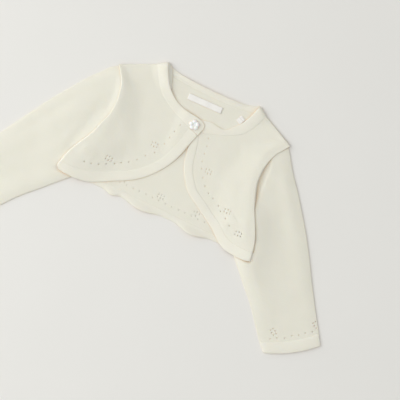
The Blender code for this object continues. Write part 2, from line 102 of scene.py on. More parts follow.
# How far the right front is lifted by the left one under its tip, and where that begins, inwards and upwards
OVERLAP_LIFT = {"right": 1.6, "left": 0.0}
OVERLAP_IN = (-28, 15)
OVERLAP_UP = (-88, 26)
# The roll at an edge: the length of close faces, how wide it is for its height, its least height, and how much of
# it is a true round
SHOULDER_ROLL = 5.0
SIDE_ROLL = 9.0
ROLL_WIDTH = {"right": 0.5, "left": 0.3}
SHOULDER_ROLL_WIDTH = 0.9
LEAST_ROLL = 0.1
ROUND_SHARE = 0.2
# Unevenness of smoothed cloth, as size and height, and where a front's begins from its edges
FRONT_UNEVEN = (31, 0.25)
SLEEVE_UNEVEN = (37, 0.4)
CALM_EDGE = (3, 9)
SLOPE_REACH = 2

# The sleeve's inner line: y, x
SLEEVE_INNER = (
    (-1.5, 117.0), (-9, 110.3), (-18, 104), (-31, 99.8), (-40, 97.8), (-52, 94.5), (-64, 89.5), (-76, 84),
    (-88, 88.5), (-102, 93.5), (-118, 99), (-134, 104.5), (-146, 109), (-154.5, 114),
)
UNDERARM_Y = -76
# Below this height the sleeve is clear of the body
CLEAR_Y = -153
SLEEVE_INNER_FREE = ((121, -162), (131, -172), (141, -182.5), (151, -192.5), (163, -205.3), (174, -219))
# The sleeve's outer line: x, y
SLEEVE_OUTER = {
    "left": (
        (117, -1.5), (123.6, -10.6), (131, -21.5), (140, -33.6), (151, -46.8), (163.2, -62.6), (180.9, -86.5),
        (192.5, -103.5), (205, -123.3), (215.5, -140.5), (227, -158.6), (238.8, -176.8),
    ),
    "right": (
        (117, -1.5), (125.5, -6.5), (134.5, -17.2), (147, -32), (161, -52), (177.5, -76.2), (191.5, -99.5),
        (204.7, -121.5), (215.5, -140), (227, -158.6), (238.8, -176.8),
    ),
}
CUFF_SEAM = ((251.6, -195.8), (188.5, -236.7))
CUFF_END = ((260.2, -208.8), (199.2, -247.8))
CUFF_BULGE = 4.4
# Heights of a flattened sleeve and of a cuff above it, with the cuff's swell, and how wide they round at their folds
SLEEVE_FLAT = 1.45
SLEEVE_PUFF = 1.4
CUFF_PUFF = 0.8
CUFF_BAND = 0.9
CUFF_SWELL = 0.6
EDGE_PUFF = 13.0
# Soft steps along a sleeve, as shares of its length: to the cuff's height, and to where its folds end
CUFF_TAPER = (0.7, 0.3)
FOLDS_TAPER = (0.8, 0.2)
# A tucked end, as shares of its width and height, and how far it is raised
TUCKED_WIDTH = 0.985
TUCKED_HEIGHT = 0.82
TUCKED_RISE = 0.4
# How much higher a sleeve climbs right at the body's edge: y, rise; and over which reach
SEAM_CLIMB = {
    "right": ((-6, 0), (-30, 1.5), (-66, 1.5), (-92, 0.7), (-112, 0.2), (-150, 0)),
    "left": ((-80, 0), (-100, 2.8), (-150, 2.8)),
}
SEAM_REACH = {"right": 4.5, "left": 18.0}
# How a sleeve rises beside the body: y, from this far off the body's edge, over this width, to this puff, which
# then sinks again over this width
SLEEVE_RISE = {
    "left": (
        (0, -8, 6, 1.4, 45), (-14, -8, 6, 1.7, 50), (-22, -7, 7, 2.0, 50), (-28, -4, 8, 2.2, 50),
        (-36, -1.0, 9, 2.4, 42), (-46, 0, 10, 2.6, 40), (-58, 0, 10, 2.7, 40), (-68, -1.5, 9, 2.9, 42),
        (-78, -4.0, 8, 3.2, 44), (-88, -6, 8, 3.4, 46), (-98, -7, 7, 3.5, 48), (-120, -7, 7, 3.3, 52),
        (-150, -5, 8, 2.6, 54),
    ),
    "right": (
        (0, -8, 6, 1.4, 45), (-14, -8, 6, 1.9, 50), (-30, -8, 6, 2.3, 60), (-60, -8, 6, 2.5, 70),
        (-90, -8, 6, 2.4, 70), (-120, -7, 6, 2.2, 60), (-150, -6, 7, 1.8, 50),
    ),
}
# Soft folds of a sleeve: from x, y, to x, y, half width, height
SLEEVE_FOLDS = {
    "left": (
        (128, -36, 168, -98, 9, 0.8), (168, -98, 212, -164, 12, 0.6), (150, -160, 196, -212, 10, 0.4),
    ),
    "right": (
        (117, -56, 133, -128, 6, -0.7), (120, -38, 168, -120, 11, 0.6), (150, -60, 200, -140, 8, -0.5),
        (128, -100, 165, -160, 9, 0.6), (150, -150, 200, -205, 10, -0.6), (176, -120, 226, -196, 9, 0.6),
    ),
}
# Soft folds of a front, in the same way
FRONT_FOLDS = {
    "left": (
        (106, -12, 66, -30, 9, 0.6), (40, -40, 58, -100, 9, 0.3), (84, -128, 96, -112, 8, 0.8),
        (108, -104, 112, -140, 12, 0.7),
    ),
    "right": (
        (34, -42, 62, -92, 8, 0.4), (96, -120, 116, -112, 8, 0.6),
    ),
}
# How a fold fades towards its ends, as a soft step in shares of its length
FOLD_FADE = (-0.1, 0.25)

# The back panel's side: y, x
BACK_SIDE = (
    (1.1, 116.4), (-9, 109.8), (-18, 103.5), (-31, 99.3), (-38, 97.8), (-46, 98.2), (-54, 99.6), (-62, 101.0),
    (-76, 105.4), (-92, 111), (-109, 120), (-128, 128.3), (-150, 132.8),
)
BACK_NECK_SEAM = ((75.5, 21.0), (62, 17.6), (46, 15.2), (30, 13.9), (15, 13.2), (0, 13.0))
BACK_NECK_FREE = ((63.0, 28.6), (56, 25.8), (45, 22.6), (30, 20.9), (15, 20.3), (0, 20.2))
# The free edge of the back neck's band curls up by this, inside of the shoulders, and a groove runs along it:
# its depth, place and half width, the last two as shares of the band's width
BACK_NECK_CURL = 2.6
CURL_IN = (-52, 24)
GROOVE = (0.2, 0.42, 0.12)
BACK_NECK_END = 0.6

# The bands, as stations along them: free edge x, y, seam x, y
NECKBAND = {
    "right": (
        (63.6, 29.3, 75.5, 21.2), (59.6, 20.4, 70.5, 13), (53.5, 9, 63.5, 1.5), (46.8, 0.2, 56, -7.8),
        (37.5, -7.6, 45, -16), (28.3, -12.6, 33, -22.6), (17.4, -15.7, 20, -28), (6.8, -17.0, 8, -32.3),
        (-2.5, -18.6, -1, -35.6), (-9.6, -21.6, -6.2, -37.2), (-12, -26.5, -8.4, -38),
    ),
    "left": (
        (63.4, 29.25, 75.5, 21.2), (60.5, 20, 72, 9.8), (57.3, 10.5, 67.4, 0), (51.5, -0.8, 61, -9.8),
        (44.7, -9, 52.8, -16.6), (39.3, -14.8, 43.6, -21.4), (34, -17.2, 35, -25.2), (27, -16.8, 27, -28),
        (17.4, -15.6, 18.5, -31), (7.7, -17.6, 8.5, -33.4), (-1, -19.8, 1, -34.8), (-8.5, -22, -6.6, -35.1),
    ),
}
FRONT_BAND = {
    "right": (
        (-8.5, -38.0, 4.4, -33.5), (-4.3, -51.6, 8.0, -48.3), (0.8, -70.1, 12.8, -65.8), (7.3, -85.4, 18.3, -79),
        (15.3, -97.8, 25.2, -90.2), (24, -108.5, 33, -99.8), (32.6, -116.7, 40.8, -107.3),
        (43.9, -124.8, 50.8, -114.3), (59.8, -133.4, 66, -122.4), (74.6, -141.7, 80, -130),
        (90.5, -149.1, 94, -135.8), (107.2, -152, 108, -138.8), (121, -151.6, 120.5, -140.2),
        (129.6, -150.3, 128.4, -140.5), (133.4, -146.8, 133.4, -140.8),
    ),
    "left": (
        (-6.4, -35.8, 7.8, -34.6), (0.3, -47, 12.6, -45.6), (4.0, -58, 15.2, -58), (6.7, -72.6, 18.4, -72),
        (12.6, -86.4, 23.8, -83.5), (20.9, -99.1, 31, -93.6), (29.1, -107.7, 37.8, -100.5),
        (45.5, -117.8, 51.5, -108.6), (60, -126.5, 65, -116.8), (73.3, -134.8, 79, -125),
        (88.5, -146.8, 92.5, -135.2), (100, -152.4, 102, -139.8), (114.3, -154, 114.5, -141),
        (127, -153.8, 126, -140.9), (137.6, -150.8, 135.1, -140.6),
    ),
}
# Where the neckband's and the front band's seams meet, and how near to it the neckband's stations stop
FRONT_CORNER = {"right": (3.2, -32.9), "left": (7.0, -33.6)}
CORNER_GAP = 2
# A neckband's seam becomes as thick as the front band, from this share of its length
CORNER_FILL = (0.84, 0.08)
# The inner side of the right neckband, which stands open beside the shoulder: free edge x, y, foot x, y
NECK_TURN = (
    (63.0, 28.9, 57.9, 26.4), (61.4, 24.6, 56.4, 24.6), (59.4, 20.4, 54.4, 21.6), (56.4, 14.6, 51.8, 16.0),
    (53.3, 9.0, 49.4, 10.4), (50.0, 4.4, 47.4, 5.6), (46.6, 0.2, 45.4, 0.8),
)
# How far its foot is raised, until which share of its length, and how hollow it is
TURN_FOOT = 1.2
TURN_FOOT_END = 0.9
TURN_HOLLOW = 1.5
# How far the front stands up along the neck, beside the shoulder: y, rise
NECK_STAND = {
    "right": ((-14, 0), (-4, 1.5), (6, 3.6), (16, 4.8), (30, 4.9)),
    "left": ((-6, 0), (4, 1.2), (14, 2.8), (30, 3.2)),
}
NECK_STAND_WIDTH = 26.0
NECK_STAND_END = -14.5

# A band's section, from its seam under to its free edge and back over: shares of its width and its thickness
BAND_SECTION = (
    (1.0, 0.05), (0.75, 0.0), (0.5, 0.0), (0.25, 0.0), (0.07, 0.04), (0.012, 0.22), (0.0, 0.45), (0.02, 0.68),
    (0.08, 0.87), (0.2, 0.97), (0.4, 1.0), (0.6, 0.99), (0.78, 0.94), (0.9, 0.88), (0.97, 0.8), (1.0, 0.7),
)
FREE_EDGE_LEVEL = 0.45

# The back hem's ruffle waves: middle x, half width, rise, reach below the straight hem
HEM_WAVES = (
    (-57, 13, 2.4, 3.0), (-17, 30, 3.4, 4.6), (52, 28, 4.4, 5.2),
)
HEM_FREE_Y = -148.6
HEM_FLARE = 1.6
HEM_RISE = (0.1, 0.9)

# Pointelle eyelets, as x, y of each hole, and the middle of each flower of slim eyelets
EYELET = 0.62
FRONT_EYELETS = {
    "right": (
        (16.9, -35.4), (19.8, -45.6), (22.1, -55.3), (24.6, -65.0), (31.0, -80.0), (39.4, -88.7), (47.0, -97.8),
        (54.9, -104.8), (63.1, -109.5), (70.1, -114.3), (79.3, -119.2), (87.5, -123.5), (96.0, -126.6),
        (105.0, -128.0),
    ),
    "left": (
        (22.1, -35.4), (24.7, -45.0), (25.9, -54.8), (27.2, -64.6), (31.2, -73.0), (37.1, -82.4), (43.9, -91.2),
        (51.8, -96.9), (59.8, -101.0), (69.6, -105.8), (75.0, -111.0), (84.1, -116.7), (92.5, -122.5),
    ),
}
FRONT_FLOWERS = {"right": ((35.0, -71.0), (78.8, -111.4)), "left": ((40.2, -72.6), (82.8, -107.3), (107.0, -127.0))}
BACK_ROW_Y = -132.3
BACK_ROW_STEP = 9.0
BACK_FLOWERS = ((-98, -127), (-49, -127), (0, -126.5), (49.5, -127), (98, -127))
CUFF_EYELETS = (
    (199.4, -228.2), (206.6, -223.5), (215.2, -219.5), (222.0, -212.8), (229.6, -208.5), (236.2, -202.8),
    (243.0, -197.6),
)
CUFF_FLOWERS = ((199.3, -218.5), (243.5, -188.0))
CUFF_FLOWER_TURN = math.radians(-33)
# One flower: slim eyelets about its middle, as x, y, half length
FLOWER = ((-3.7, 1.7, 1.0), (-3.7, -1.7, 1.0), (0, 2.4, 1.3), (0, -2.4, 1.3), (3.7, 1.7, 1.0), (3.7, -1.7, 1.0))
SLIM = 0.36
# A hole opens the nearest of this many faces that is free, no further off than this
HOLE_FACES = 6
HOLE_REACH = 2.2

# The button: its petals' waist and its flat, as shares of its radius, and its back's, rim's and face's rows
BUTTON_AT = (0.9, -28.0)
BUTTON_RADIUS = 6.8
BUTTON_THICK = 2.6
BUTTON_PETALS = 5
BUTTON_WAIST = 0.78
BUTTON_FLAT = 0.92
BUTTON_BACK = 6
BUTTON_RIM = 6
BUTTON_FACE = 18
# Its height over the band, its rim as a share of its thickness, and its thread holes' offset, radius and depth
BUTTON_LIFT = 0.1
BUTTON_RIM_SHARE = 0.55
THREAD_HOLE = (0.95, 0.55, 1.0)

# The neck label and the side tab: width and height, x, y, turn, and how far they lift off between their sewn ends
LABEL = ((46.0, 8.2), (-0.4, 2.2), math.radians(1.4), 0.5)
TAB = ((9.0, 8.0), (48.6, 2.7), math.radians(62), 0.3)
LABEL_WAVES = 5

# How finely the pieces are meshed: faces across and along, and close ones where a cloth rolls over
FRONT_FACES = (76, 68)
BACK_FACES = (128, 82)
TURN_FACES = (8, 30)
STRIP_FACES = (40, 8)
HEM_FACES = 170
BACK_NECK_FACES = 110
NECKBAND_FACES = 90
FRONT_BAND_FACES = 160
SLEEVE_FACES = 120
CUFF_FACES = 10
BUTTON_FACES = 100
SIDE_STEPS = 7
SHOULDER_STEPS = 6
NECKBAND_STEPS = 5
FRONT_BAND_STEPS = 6
# A tube's faces round each folded side, and across its upper or lower wall
TUBE_CURVED = 6
TUBE_FLAT = 38
# Rough lengths of pieces, for the spacing of their close faces
FRONT_LENGTH = 90.0
NECKBAND_LENGTH = 130.0
FRONT_BAND_LENGTH = 215.0

# The knit, as it is sized round or across each piece, and along it
BAND_KNIT = 30
NECKBAND_KNIT = 120
TURN_KNIT = (6, 35)
HEM_KNIT = (22, 138)
BACK_NECK_KNIT = (17, 75)
TUBE_KNIT = 190
SLEEVE_KNIT = 235
CUFF_KNIT = 15
# Sizes of patterns. A pixel of the 400-pixel render is 1.25 mm, so the finest of them show in closer views only.
# Stitch widths and heights: about 12 stitches and 16 rows to 15 mm, and finer on the bands
JERSEY_STITCH = (1.25, 0.95)
BAND_STITCH = (1.0, 0.8)
# The spacing of a satin's warp and weft floats, coarser than in a real ribbon
SATIN_WARP = 0.35
SATIN_WEFT = 0.5
# Tufts of loose fibre, the yarn's cloudy tone, the plastic's flow marks, and the board's mottling
FIBRE = 1.11111
CLOUD = 23.8095
FLOW = 2.0
MOTTLE = 166.667
# How far ambient occlusion looks for the painted warm shade in creases, and how open a place is before it has the
# yarn's full tone without that painted shade
PAINTED_SHADE_REACH = 12
PAINTED_SHADE_OPENNESS = 1.38

# The camera looks straight down, turned so that the shoulders slope down to the right.
VIEW_TURN = math.radians(25.5)
VIEW_WIDTH = 0.5
VIEW_HEIGHT = 1.6
VIEW_X = 0.0457
SENSOR = 36.0
# Soft daylight from the picture's upper left: kind, the picture's right and up, elevation, strength, distance, and
# the spread of a distant window or the size of a soft box
LIGHTS = {
    "room_light": ("SUN", -0.86, 0.5, 85, 1.0, 0, {"angle": 1.2}),
    "window_light": ("SUN", -0.85, 0.5, 18, 0.9, 0, {"angle": 0.7}),
    "side_light": ("AREA", -1.0, 0.1, 40, 8.5, 1.6, {"shape": "SQUARE", "size": 1.2}),
}
ROOM_STRENGTH = 0.4


def ramp(value, start=0.0, width=1.0):
    """A soft step from 0 to 1."""
    t = min(1.0, max(0.0, (value - start) / width))
    return t * t * (3 - 2 * t)


def graph(rows, column=1):
    """A smooth function through rows, from their first column to another one, constant past the ends."""
    rows = sorted((row[0], row[column]) for row in rows)

    def slope(i):
        low, high = rows[max(i - 1, 0)], rows[min(i + 1, len(rows) - 1)]
        return (high[1] - low[1]) / (high[0] - low[0])

    slopes = [slope(i) for i in range(len(rows))]

    def value(where):
        where = min(max(where, rows[0][0]), rows[-1][0])
        i = max(k for k in range(len(rows) - 1) if rows[k][0] <= where)
        span = rows[i + 1][0] - rows[i][0]
        t = (where - rows[i][0]) / span
        first = (1 + 2 * t) * (1 - t) ** 2 * rows[i][1] + t * (1 - t) ** 2 * span * slopes[i]
        return first + t * t * (3 - 2 * t) * rows[i + 1][1] - t * t * (1 - t) * span * slopes[i + 1]

    return value


def stations(points):
    """A smooth curve through points, as a function that passes them at equal steps from 0 to 1."""
    points = [Vector(p) for p in points]
    points = [2 * points[0] - points[1], *points, 2 * points[-1] - points[-2]]

    def at(t):
        place = min(max(t, 0.0), 1.0) * (len(points) - 3)
        i = min(int(place), len(points) - 4)
        t = place - i
        a, b, c, d = points[i : i + 4]
        return b + 0.5 * t * (c - a + t * (2 * a - 5 * b + 4 * c - d + t * (3 * (b - c) + d - a)))

    return at


def by_length(points):
    """A smooth curve through points, as a function of the share of its length."""
    curve, steps = stations(points), 200
    points = [curve(i / steps) for i in range(steps + 1)]
    lengths = [0.0]
    for a, b in zip(points, points[1:]):
        lengths.append(lengths[-1] + (b - a).length)

    def at(share):
        want = min(max(share, 0.0), 1.0) * lengths[-1]
        low, high = 0, steps - 1
        while low < high:
            middle = (low + high + 1) // 2
            low, high = (middle, high) if lengths[middle] <= want else (low, middle - 1)
        part = (want - lengths[low]) / max(lengths[low + 1] - lengths[low], 1e-9)
        return points[low].lerp(points[low + 1], part)

    return at


def beside(points, gap):
    """Points moved by the gap to the left of the way that they run."""
    points = [Vector(p) for p in points]
    moved = []
    for i, p in enumerate(points):
        way = (points[min(i + 1, len(points) - 1)] - points[max(i - 1, 0)]).normalized()
        moved.append(p + gap * Vector((-way.y, way.x)))
    return moved


def patch(top, bottom, near, far):
    """A plan between four curves: top and bottom run from near to far, near and far from top to bottom."""

    def at(u, v):
        ruled = top(u) * (1 - v) + bottom(u) * v + near(v) * (1 - u) + far(v) * u
        upper = top(0) * (1 - u) + top(1) * u
        lower = bottom(0) * (1 - u) + bottom(1) * u
        return ruled - upper * (1 - v) - lower * v

    return at


def bowed(line, bulge):
    """A straight line from one point to another, bowed to its left."""
    start, end = Vector(line[0]), Vector(line[1])
    way = (end - start).normalized()
    return lambda t: start.lerp(end, t) + bulge * 4 * t * (1 - t) * Vector((-way.y, way.x))


body_half = graph(BODY_SIDE)
fold_height = {"right": graph(BODY_SIDE, 2), "left": graph(BODY_SIDE, 3)}
fold_spread = graph(BODY_SIDE, 4)
fold_width = {"right": graph(BODY_SIDE, 5), "left": graph(FOLD_TOP_LEFT)}
sleeve_inner = graph(SLEEVE_INNER)
back_half = graph(BACK_SIDE)
shoulder_y = graph(SHOULDER)
sleeve_rise = {side: [graph(rows, k) for k in (1, 2, 3, 4)] for side, rows in SLEEVE_RISE.items()}
seam_climb = {side: graph(rows) for side, rows in SEAM_CLIMB.items()}
neck_stand = {side: graph(rows) for side, rows in NECK_STAND.items()}
neck_edge = {
    side: graph([row[1::-1] for row in rows if row[1] > NECK_STAND_END]) for side, rows in NECKBAND.items()
}


def turned(x, y, angle):
    """A point turned about the origin."""
    cos, sin = math.cos(angle), math.sin(angle)
    return x * cos - y * sin, x * sin + y * cos


def unevenness(x, y, size, height):
    """The slight waviness of cloth smoothed by hand."""
    return height * noise.noise(Vector((x / size, y / size, size)))


def folds(x, y, rows):
    """The sum of soft ridges and troughs, each along its own line."""
    total = 0
    for x0, y0, x1, y1, half, height in rows:
        way_x, way_y = x1 - x0, y1 - y0
        along = ((x - x0) * way_x + (y - y0) * way_y) / (way_x**2 + way_y**2)
        nearest = min(max(along, 0), 1)
        off = math.hypot(x - x0 - nearest * way_x, y - y0 - nearest * way_y)
        total += height * math.exp(-((off / half) ** 2)) * ramp(0.5 - abs(along - 0.5), *FOLD_FADE)
    return total


def beside_body(side, x, y):
    """How much of its puff the sleeve has reached here, and that puff."""
    start, width, full, sinking = (column(y) for column in sleeve_rise[side])
    out = max(x - body_half(y), CLEAR_Y - y)
    puff = full + (SLEEVE_PUFF - full) * ramp(out - start, width, sinking)
    puff += seam_climb[side](y) * math.exp(-((max(out, 0) / SEAM_REACH[side]) ** 2))
    return ramp(out, start, width), puff


def back_under(x, y):
    """The height of the back's underside: flat on the table, but lifted where its side lies on the sleeve."""
    share, puff = beside_body("left" if x > 0 else "right", abs(x), y)
    lifted = ramp(-y, *BACK_LIFT_DOWN) * ramp(abs(x) - sleeve_inner(y), *BACK_LIFT_OUT)
    return (SLEEVE_FLAT + LAY + share * puff) * lifted


def arc(distance, rim, top, wide):
    """The height of a cloth that rolls over from top down to its rim, softly at first and steeply at its edge."""
    width = max(top - rim, LEAST_ROLL) * wide
    if distance >= width:
        return top
    left = 1 - (1 - distance / width) ** 2
    return rim + (top - rim) * (ROUND_SHARE * math.sqrt(left) + (1 - ROUND_SHARE) * left)


def rim_height(side, y):
    """The front's rim lies on the sleeve's end down to the underarm, then on the sleeve past the back's edge."""
    share, puff = beside_body(side, body_half(y), y)
    return SLEEVE_FLAT + share * puff + LAY + RIM_RISE * ramp(-y, *RIM_LIFT_DOWN)


def shoulder_rim(x):
    """The front's shoulder edge lies on the back's, and climbs onto the sleeve's end at the shoulder point."""
    return CLOTH + LAY + RIM_RISE + (SLEEVE_FLAT - CLOTH) * ramp(x, *SHOULDER_LIFT_OUT)


def front_top(side, x, y):
    """The height of a front's outer face: over the back and the sleeve, with a soft fold along the armhole and
    side, standing up along the neck, and rolled over at the side and the shoulder."""
    base = 2 * CLOTH + LAY
    lift = FRONT_LIFT * ramp(-y, *FRONT_LIFT_DOWN) * ramp(x - sleeve_inner(y), *FRONT_LIFT_OUT)
    slant = (body_half(y + SLOPE_REACH) - body_half(y - SLOPE_REACH)) / (2 * SLOPE_REACH)
    aside = max(body_half(y) - x, 0) / math.hypot(1, slant)
    below = max(shoulder_y(x) - y, 0) * SHOULDER_COSINE
    spread, flat = fold_spread(y), fold_width[side](y)
    inward = math.hypot(aside / spread, FOLD_SHARPNESS) - math.hypot(flat / spread, FOLD_SHARPNESS)
    fold = (fold_height[side](y) - base - lift) / math.cosh(max(inward, 0))
    puff = SHOULDER_PUFF * (1 - ramp(below, *PUFF_DOWN)) * ramp(x, *PUFF_OUT) * ramp(aside, *PUFF_ASIDE)
    stand = neck_stand[side](y) * (1 - ramp(x, neck_edge[side](y), NECK_STAND_WIDTH))
    over = OVERLAP_LIFT[side] * ramp(-x, *OVERLAP_IN) * ramp(y, *OVERLAP_UP)
    soft = folds(x, y, FRONT_FOLDS[side]) + unevenness(x, y, *FRONT_UNEVEN)
    soft *= ramp(aside, *CALM_EDGE) * ramp(below, *CALM_EDGE)
    top = base + lift + fold + puff + stand + over + soft
    over_side = arc(aside, rim_height(side, y), top, ROLL_WIDTH[side])
    return min(top, over_side, arc(below, shoulder_rim(x), top, SHOULDER_ROLL_WIDTH))


def sleeve_top(side, x, y, share, aside):
    """The height of the sleeve's upper face: flat where the body lies on it, puffed beside the body."""
    free, puff = beside_body(side, x, y)
    puff += (CUFF_PUFF - puff) * ramp(share, *CUFF_TAPER)
    soft = (folds(x, y, SLEEVE_FOLDS[side]) + unevenness(x, y, *SLEEVE_UNEVEN)) * (1 - ramp(share, *FOLDS_TAPER))
    edge = 1 - (1 - min(aside / EDGE_PUFF, 1)) ** 2
    return SLEEVE_FLAT + free * max(puff + soft, 0) * edge


def placed(x, y, z):
    """A point of the tables in the model's metres."""
    return Vector((x, y + ORIGIN_Y, z)) * MM


def laid(columns, rows, point, knit=True):
    """A grid whose points are laid by point(i, j), which gives x, y, height, and the place across and along the
    knit for the UV map, all in millimetres. Points that meet are joined."""
    bm = bmesh.new()
    bmesh.ops.create_grid(bm, x_segments=columns, y_segments=rows, size=1)
    uv = bm.loops.layers.uv.new("Knit") if knit else None
    along = {}
    for v in bm.verts:
        i = round((v.co.x + 1) / 2 * columns)
        j = round((v.co.y + 1) / 2 * rows)
        x, y, z, *along[v] = point(i, j)
        v.co = placed(x, y, z)
    if knit:
        for face in bm.faces:
            for loop in face.loops:
                loop[uv].uv = Vector(along[loop.vert]) * MM
    bmesh.ops.remove_doubles(bm, verts=bm.verts, dist=1e-6)
    return bm


def upright(bm):
    """Turns the faces so that the highest one looks up, and so the others look outwards."""
    bm.normal_update()
    highest = max(bm.faces, key=lambda f: f.calc_center_median().z)
    if highest.normal.z < 0:
        bmesh.ops.reverse_faces(bm, faces=bm.faces)


def open_eyelets(bm, holes):
    """Opens the face nearest to each hole, and draws its corners into a ring of the hole's size. A hole is x, y,
    half width, half length and the way that its length runs."""
    bm.normal_update()
    bm.faces.ensure_lookup_table()
    tree = kdtree.KDTree(len(bm.faces))
    for face in bm.faces:
        middle = face.calc_center_median()
        # A face that looks down is put out of reach
        tree.insert((middle.x, middle.y, 0 if face.normal.z > 0 else 1), face.index)
    tree.balance()
    used, opened = set(), []
    for x, y, half, length, way in holes:
        middle = placed(x, y, 0)
        near = [bm.faces[k] for _, k, distance in tree.find_n(middle, HOLE_FACES) if distance <= HOLE_REACH * MM]
        face = next((f for f in near if used.isdisjoint(f.verts)), None)
        if face is None:
            continue
        used.update(face.verts)
        opened.append(face)
        for v in face.verts:
            off = v.co - face.calc_center_median()
            angle = math.atan2(off.y, off.x) - way
            a, b = turned(length * math.cos(angle), half * math.sin(angle), way)
            v.co.x, v.co.y = middle.x + a * MM, middle.y + b * MM
    bmesh.ops.delete(bm, geom=opened, context="FACES")


def finished(name, bm, material, wall=0.0, upwards=False, smooth=0):
    """An object of a mesh, smooth, with a wall where it is a sheet."""
    mesh = bpy.data.meshes.new(name)
    bm.to_mesh(mesh)
    bm.free()
    mesh.shade_smooth()
    mesh.materials.append(material)
    thing = bpy.data.objects.new(name, mesh)
    bpy.context.scene.collection.objects.link(thing)
    if wall:
        shell = thing.modifiers.new("Wall", "SOLIDIFY")
        shell.thickness = wall * MM
        shell.offset = 1 if upwards else -1
        shell.use_even_offset = True
        shell.use_quality_normals = True
    if smooth:
        fine = thing.modifiers.new("Soft", "SUBSURF")
        fine.levels = smooth
        fine.render_levels = smooth
    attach(thing, "root")
    return thing


def knitted(name, columns, rows, point, material, wall, holes=(), upwards=False, smooth=1):
    """A sheet of cloth, with a wall on one side of the points that are laid, and its eyelets."""
    bm = laid(columns, rows, point)
    upright(bm)
    if holes:
        open_eyelets(bm, holes)
    return finished(name, bm, material, wall, upwards, smooth)


def closed_strip(name, along, point, material):
    """A full band, whose section is BAND_SECTION and whose two ends are filled. point(share across, share of the
    thickness, share round, j) gives its points."""
    around = len(BAND_SECTION)
    bm = laid(around, along, lambda i, j: point(*BAND_SECTION[i % around], i / around, j))
    ends = [e for e in bm.edges if e.is_boundary]
    bmesh.ops.holes_fill(bm, edges=ends, sides=0)
    bmesh.ops.recalc_face_normals(bm, faces=bm.faces)
    return finished(name, bm, material, smooth=1)


def rolled(count, length, radius, steps, at_start=False):
    """Shares from 0 to 1 with close steps at the end, or the start, where a cloth rolls over."""
    close = [1 - radius * (1 - math.sin(math.radians(90 * k / steps))) / length for k in range(steps + 1)]
    shares = [close[0] * i / count for i in range(count)] + close
    if at_start:
        shares = [1 - s for s in reversed(shares)]
    return shares


def flower(middle, turn=0.0):
    """The slim eyelets of one knitted flower."""
    holes = []
    for x, y, half in FLOWER:
        x, y = turned(x, y, turn)
        holes.append((middle[0] + x, middle[1] + y, SLIM, half, turn + math.pi / 2))
    return holes


def round_holes(points):
    """Plain round eyelets."""
    return [(x, y, EYELET, EYELET, 0.0) for x, y in points]


def front(side, material):
    """A front panel, between the shoulder, the neckband, the front band and the side."""
    corner = Vector(FRONT_CORNER[side])
    neck_points = beside([row[2:] for row in NECKBAND[side] if row[2] > corner.x + CORNER_GAP], -TUCK)
    band_points = beside([row[2:] for row in FRONT_BAND[side]], -TUCK)
    side_points = [row[1::-1] for row in BODY_SIDE if row[0] > BACK_SEAM_Y]
    hem_corner = Vector((body_half(band_points[-1].y), band_points[-1].y))
    neck = by_length([*neck_points, corner])
    hem = by_length([corner, *band_points[1:-1], hem_corner])
    edge = by_length([*side_points, hem_corner])
    shoulder = by_length([neck_points[0], (BODY_HALF, 0)])
    plan = patch(shoulder, hem, neck, edge)
    columns, rows = FRONT_FACES
    down = rolled(rows, FRONT_LENGTH, SHOULDER_ROLL, SHOULDER_STEPS, at_start=True)
    out = SIDES[side]

    def point(i, j):
        v = down[j]
        width = (plan(1, v) - plan(0, v)).length
        p = plan(rolled(columns, width, SIDE_ROLL, SIDE_STEPS)[i], v)
        return out * p.x, p.y, front_top(side, p.x, p.y), p.x, p.y

    holes = round_holes((out * x, y) for x, y in FRONT_EYELETS[side])
    for x, y in FRONT_FLOWERS[side]:
        holes += flower((out * x, y))
    name = f"front_{side}_knit"
    thing = knitted(name, columns + SIDE_STEPS, rows + SHOULDER_STEPS, point, material, CLOTH, holes)
    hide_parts(f"front_{side}")


def off_surface(side, p, up):
    """A point above the inside of a front's cloth, square to it."""
    step = 0.25
    z = front_top(side, p.x, p.y)
    slope_x = (z - front_top(side, p.x - step, p.y)) / step
    slope_y = (z - front_top(side, p.x, p.y - step)) / step
    normal = Vector((-slope_x, -slope_y, 1)).normalized()
    return Vector((p.x, p.y, z)) + normal * (up - CLOTH)


def band(name, side, table, shares, length, material, corner=False):
    """A band on a front: a double knit strip with a full, rounded section. At a corner, its seam meets the next
    band, as thick as that."""
    free = stations([row[:2] for row in table])
    seam = stations([row[2:] for row in table])

    def point(across, up, around, j):
        if corner and across > 0.5 and up > 0.5:
            up += (1 - up) * ramp(shares[j], *CORNER_FILL)
        p = free(shares[j]).lerp(seam(shares[j]), across)
        p = off_surface(side, p, up * BAND_CLOTH)
        return SIDES[side] * p.x, p.y, p.z, around * BAND_KNIT, shares[j] * length

    thing = closed_strip(name, len(shares) - 1, point, material)
    return thing


def front_bands(side, material):
    """The neckband and the front band of one side."""
    shares = rolled(NECKBAND_FACES, NECKBAND_LENGTH, SHOULDER_ROLL, NECKBAND_STEPS, at_start=True)
    thing = band(f"neckband_{side}_knit", side, NECKBAND[side], shares, NECKBAND_KNIT, material, True)
    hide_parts(f"neckband_{side}")
    shares = rolled(FRONT_BAND_FACES, FRONT_BAND_LENGTH, SIDE_ROLL, FRONT_BAND_STEPS)
    thing = band(f"front_band_{side}_knit", side, FRONT_BAND[side], shares, FRONT_BAND_LENGTH, material)
    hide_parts(f"front_band_{side}")


